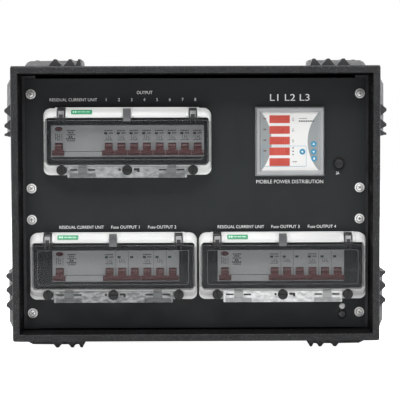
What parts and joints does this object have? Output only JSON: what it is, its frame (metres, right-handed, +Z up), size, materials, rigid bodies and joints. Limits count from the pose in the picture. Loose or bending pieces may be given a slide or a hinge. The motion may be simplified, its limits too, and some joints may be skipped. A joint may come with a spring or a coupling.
{
  "type": "portable power distribution box",
  "caption": "Portable power distribution box in a black wooden case with rubber edge guards, breakers behind hinged clear windows, a panel meter and rear connectors.",
  "frame": {"origin": "on the floor, under the middle of the case", "axes": "+X along the case's width to the right seen from the front, +Z up, the front panel faces -Y"},
  "size_m": [0.5328, 0.38, 0.4038],
  "materials": {
    "case_paint": "black textured structure paint on plywood",
    "guard_rubber": "matt black rubber",
    "rail_steel": "black zinc-plated steel",
    "panel_paint": "fine-grained black powder coat on steel sheet",
    "frame_plastic": "satin light grey moulding",
    "lid_plastic": "clear smoked polycarbonate",
    "latch_plastic": "satin black moulding",
    "breaker_plastic": "light grey breaker housing",
    "toggle_plastic": "dark red moulding",
    "meter_plastic": "grey moulding with a clear front",
    "black_plastic": "black moulding",
    "outlet_plastic": "red moulding",
    "socket_plastic": "blue moulding"
  },
  "bodies": {
    "enclosure": {"breaker_row_lower_left": "breaker_plastic", "breaker_row_lower_right": "breaker_plastic", "breaker_row_upper": "breaker_plastic", "case_bottom_board": "case_paint", "case_left_board": "case_paint", "case_right_board": "case_paint", "case_top_board": "case_paint", "edge_guard_bottom_left": "guard_rubber", "edge_guard_bottom_right": "guard_rubber", "edge_guard_top_left": "guard_rubber", "edge_guard_top_right": "guard_rubber", "front_panel": "panel_paint", "inlet": "outlet_plastic", "meter": "meter_plastic", "outlet_1": "outlet_plastic", "outlet_2": "outlet_plastic", "outlet_3": "outlet_plastic", "outlet_4": "outlet_plastic", "rack_rail_left": "rail_steel", "rack_rail_right": "rail_steel", "rear_panel": "panel_paint", "side_grip_left": "black_plastic", "side_grip_right": "black_plastic", "socket_strip": "socket_plastic", "window_frame_lower_left": "frame_plastic", "window_frame_lower_right": "frame_plastic", "window_frame_upper": "frame_plastic"},
    "breaker_toggle_1": {"breaker_toggle_1": "toggle_plastic"},
    "breaker_toggle_2": {"breaker_toggle_2": "toggle_plastic"},
    "breaker_toggle_3": {"breaker_toggle_3": "toggle_plastic"},
    "breaker_toggle_4": {"breaker_toggle_4": "toggle_plastic"},
    "breaker_toggle_5": {"breaker_toggle_5": "toggle_plastic"},
    "breaker_toggle_6": {"breaker_toggle_6": "toggle_plastic"},
    "breaker_toggle_7": {"breaker_toggle_7": "toggle_plastic"},
    "breaker_toggle_8": {"breaker_toggle_8": "toggle_plastic"},
    "fuse_cap": {"fuse_cap": "black_plastic"},
    "inlet_lid": {"inlet_lid": "outlet_plastic"},
    "outlet_lid_1": {"outlet_lid_1": "outlet_plastic"},
    "outlet_lid_2": {"outlet_lid_2": "outlet_plastic"},
    "outlet_lid_3": {"outlet_lid_3": "outlet_plastic"},
    "outlet_lid_4": {"outlet_lid_4": "outlet_plastic"},
    "rcd_test_button_lower_left": {"rcd_test_button_lower_left": "toggle_plastic"},
    "rcd_test_button_lower_right": {"rcd_test_button_lower_right": "toggle_plastic"},
    "rcd_test_button_upper": {"rcd_test_button_upper": "toggle_plastic"},
    "rcd_toggle_lower_left": {"rcd_toggle_lower_left": "toggle_plastic"},
    "rcd_toggle_lower_right": {"rcd_toggle_lower_right": "toggle_plastic"},
    "rcd_toggle_upper": {"rcd_toggle_upper": "toggle_plastic"},
    "three_pole_toggle_1": {"three_pole_toggle_1": "toggle_plastic"},
    "three_pole_toggle_2": {"three_pole_toggle_2": "toggle_plastic"},
    "three_pole_toggle_3": {"three_pole_toggle_3": "toggle_plastic"},
    "three_pole_toggle_4": {"three_pole_toggle_4": "toggle_plastic"},
    "window_latch_lower_left_left": {"window_latch_lower_left_left": "latch_plastic"},
    "window_latch_lower_left_right": {"window_latch_lower_left_right": "latch_plastic"},
    "window_latch_lower_right_left": {"window_latch_lower_right_left": "latch_plastic"},
    "window_latch_lower_right_right": {"window_latch_lower_right_right": "latch_plastic"},
    "window_latch_upper_left": {"window_latch_upper_left": "latch_plastic"},
    "window_latch_upper_right": {"window_latch_upper_right": "latch_plastic"},
    "window_lid_lower_left": {"window_lid_lower_left": "lid_plastic"},
    "window_lid_lower_right": {"window_lid_lower_right": "lid_plastic"},
    "window_lid_upper": {"window_lid_upper": "lid_plastic"}
  },
  "joints": [
    {"name": "breaker_toggle_1_pivot", "type": "hinge", "parent": "enclosure", "child": "breaker_toggle_1", "pos_m": [-0.1231, -0.1435, 0.2814], "axis": [-1, 0, 0], "range_deg": [0, 80]},
    {"name": "breaker_toggle_2_pivot", "type": "hinge", "parent": "enclosure", "child": "breaker_toggle_2", "pos_m": [-0.1051, -0.1435, 0.2814], "axis": [-1, 0, 0], "range_deg": [0, 80]},
    {"name": "breaker_toggle_3_pivot", "type": "hinge", "parent": "enclosure", "child": "breaker_toggle_3", "pos_m": [-0.0871, -0.1435, 0.2814], "axis": [-1, 0, 0], "range_deg": [0, 80]},
    {"name": "breaker_toggle_4_pivot", "type": "hinge", "parent": "enclosure", "child": "breaker_toggle_4", "pos_m": [-0.0691, -0.1435, 0.2814], "axis": [-1, 0, 0], "range_deg": [0, 80]},
    {"name": "breaker_toggle_5_pivot", "type": "hinge", "parent": "enclosure", "child": "breaker_toggle_5", "pos_m": [-0.0511, -0.1435, 0.2814], "axis": [-1, 0, 0], "range_deg": [0, 80]},
    {"name": "breaker_toggle_6_pivot", "type": "hinge", "parent": "enclosure", "child": "breaker_toggle_6", "pos_m": [-0.0331, -0.1435, 0.2814], "axis": [-1, 0, 0], "range_deg": [0, 80]},
    {"name": "breaker_toggle_7_pivot", "type": "hinge", "parent": "enclosure", "child": "breaker_toggle_7", "pos_m": [-0.0151, -0.1435, 0.2814], "axis": [-1, 0, 0], "range_deg": [0, 80]},
    {"name": "breaker_toggle_8_pivot", "type": "hinge", "parent": "enclosure", "child": "breaker_toggle_8", "pos_m": [0.0029, -0.1435, 0.2814], "axis": [-1, 0, 0], "range_deg": [0, 80]},
    {"name": "fuse_cap_twist", "type": "hinge", "parent": "enclosure", "child": "fuse_cap", "pos_m": [0.2032, -0.145, 0.2567], "axis": [0, -1, 0], "range_deg": [0, 90]},
    {"name": "inlet_lid_hinge", "type": "hinge", "parent": "enclosure", "child": "inlet_lid", "pos_m": [-0.15, 0.1663, 0.1539], "axis": [1, 0, 0], "range_deg": [0, 100], "stiffness_Nm_per_rad": 0.05, "springref_deg": -20.05},
    {"name": "outlet_lid_1_hinge", "type": "hinge", "parent": "enclosure", "child": "outlet_lid_1", "pos_m": [-0.15, 0.1463, 0.2719], "axis": [1, 0, 0], "range_deg": [0, 100], "stiffness_Nm_per_rad": 0.05, "springref_deg": -20.05},
    {"name": "outlet_lid_2_hinge", "type": "hinge", "parent": "enclosure", "child": "outlet_lid_2", "pos_m": [-0.05, 0.1463, 0.2719], "axis": [1, 0, 0], "range_deg": [0, 100], "stiffness_Nm_per_rad": 0.05, "springref_deg": -20.05},
    {"name": "outlet_lid_3_hinge", "type": "hinge", "parent": "enclosure", "child": "outlet_lid_3", "pos_m": [0.05, 0.1443, 0.2684], "axis": [1, 0, 0], "range_deg": [0, 100], "stiffness_Nm_per_rad": 0.05, "springref_deg": -20.05},
    {"name": "outlet_lid_4_hinge", "type": "hinge", "parent": "enclosure", "child": "outlet_lid_4", "pos_m": [0.15, 0.1443, 0.2684], "axis": [1, 0, 0], "range_deg": [0, 100], "stiffness_Nm_per_rad": 0.05, "springref_deg": -20.05},
    {"name": "rcd_test_press_lower_left", "type": "slide", "parent": "enclosure", "child": "rcd_test_button_lower_left", "axis": [0, 1, 0], "range_m": [0, 0.0015], "stiffness_N_per_m": 500, "springref_m": -0.0006},
    {"name": "rcd_test_press_lower_right", "type": "slide", "parent": "enclosure", "child": "rcd_test_button_lower_right", "axis": [0, 1, 0], "range_m": [0, 0.0015], "stiffness_N_per_m": 500, "springref_m": -0.0006},
    {"name": "rcd_test_press_upper", "type": "slide", "parent": "enclosure", "child": "rcd_test_button_upper", "axis": [0, 1, 0], "range_m": [0, 0.0015], "stiffness_N_per_m": 500, "springref_m": -0.0006},
    {"name": "rcd_toggle_lower_left_pivot", "type": "hinge", "parent": "enclosure", "child": "rcd_toggle_lower_left", "pos_m": [-0.194, -0.1435, 0.1036], "axis": [-1, 0, 0], "range_deg": [0, 80]},
    {"name": "rcd_toggle_lower_right_pivot", "type": "hinge", "parent": "enclosure", "child": "rcd_toggle_lower_right", "pos_m": [0.0412, -0.1435, 0.1036], "axis": [-1, 0, 0], "range_deg": [0, 80]},
    {"name": "rcd_toggle_upper_pivot", "type": "hinge", "parent": "enclosure", "child": "rcd_toggle_upper", "pos_m": [-0.1939, -0.1435, 0.2814], "axis": [-1, 0, 0], "range_deg": [0, 80]},
    {"name": "three_pole_toggle_1_pivot", "type": "hinge", "parent": "enclosure", "child": "three_pole_toggle_1", "pos_m": [-0.1052, -0.1435, 0.1036], "axis": [-1, 0, 0], "range_deg": [0, 80]},
    {"name": "three_pole_toggle_2_pivot", "type": "hinge", "parent": "enclosure", "child": "three_pole_toggle_2", "pos_m": [-0.0512, -0.1435, 0.1036], "axis": [-1, 0, 0], "range_deg": [0, 80]},
    {"name": "three_pole_toggle_3_pivot", "type": "hinge", "parent": "enclosure", "child": "three_pole_toggle_3", "pos_m": [0.13, -0.1435, 0.1036], "axis": [-1, 0, 0], "range_deg": [0, 80]},
    {"name": "three_pole_toggle_4_pivot", "type": "hinge", "parent": "enclosure", "child": "three_pole_toggle_4", "pos_m": [0.184, -0.1435, 0.1036], "axis": [-1, 0, 0], "range_deg": [0, 80]},
    {"name": "window_latch_pivot_lower_left_left", "type": "hinge", "parent": "enclosure", "child": "window_latch_lower_left_left", "pos_m": [-0.209, -0.1614, 0.1549], "axis": [-1, 0, 0], "range_deg": [0, 80]},
    {"name": "window_latch_pivot_lower_left_right", "type": "hinge", "parent": "enclosure", "child": "window_latch_lower_left_right", "pos_m": [-0.0244, -0.1614, 0.1549], "axis": [-1, 0, 0], "range_deg": [0, 80]},
    {"name": "window_latch_pivot_lower_right_left", "type": "hinge", "parent": "enclosure", "child": "window_latch_lower_right_left", "pos_m": [0.03, -0.1614, 0.1549], "axis": [-1, 0, 0], "range_deg": [0, 80]},
    {"name": "window_latch_pivot_lower_right_right", "type": "hinge", "parent": "enclosure", "child": "window_latch_lower_right_right", "pos_m": [0.2146, -0.1614, 0.1549], "axis": [-1, 0, 0], "range_deg": [0, 80]},
    {"name": "window_latch_pivot_upper_left", "type": "hinge", "parent": "enclosure", "child": "window_latch_upper_left", "pos_m": [-0.1884, -0.1614, 0.3311], "axis": [-1, 0, 0], "range_deg": [0, 80]},
    {"name": "window_latch_pivot_upper_right", "type": "hinge", "parent": "enclosure", "child": "window_latch_upper_right", "pos_m": [-0.0038, -0.1614, 0.3311], "axis": [-1, 0, 0], "range_deg": [0, 80]},
    {"name": "window_lid_hinge_lower_left", "type": "hinge", "parent": "enclosure", "child": "window_lid_lower_left", "pos_m": [-0.1167, -0.1653, 0.0777], "axis": [1, 0, 0], "range_deg": [0, 100]},
    {"name": "window_lid_hinge_lower_right", "type": "hinge", "parent": "enclosure", "child": "window_lid_lower_right", "pos_m": [0.1223, -0.1653, 0.0777], "axis": [1, 0, 0], "range_deg": [0, 100]},
    {"name": "window_lid_hinge_upper", "type": "hinge", "parent": "enclosure", "child": "window_lid_upper", "pos_m": [-0.0961, -0.1653, 0.2539], "axis": [1, 0, 0], "range_deg": [0, 100]}
  ]
}
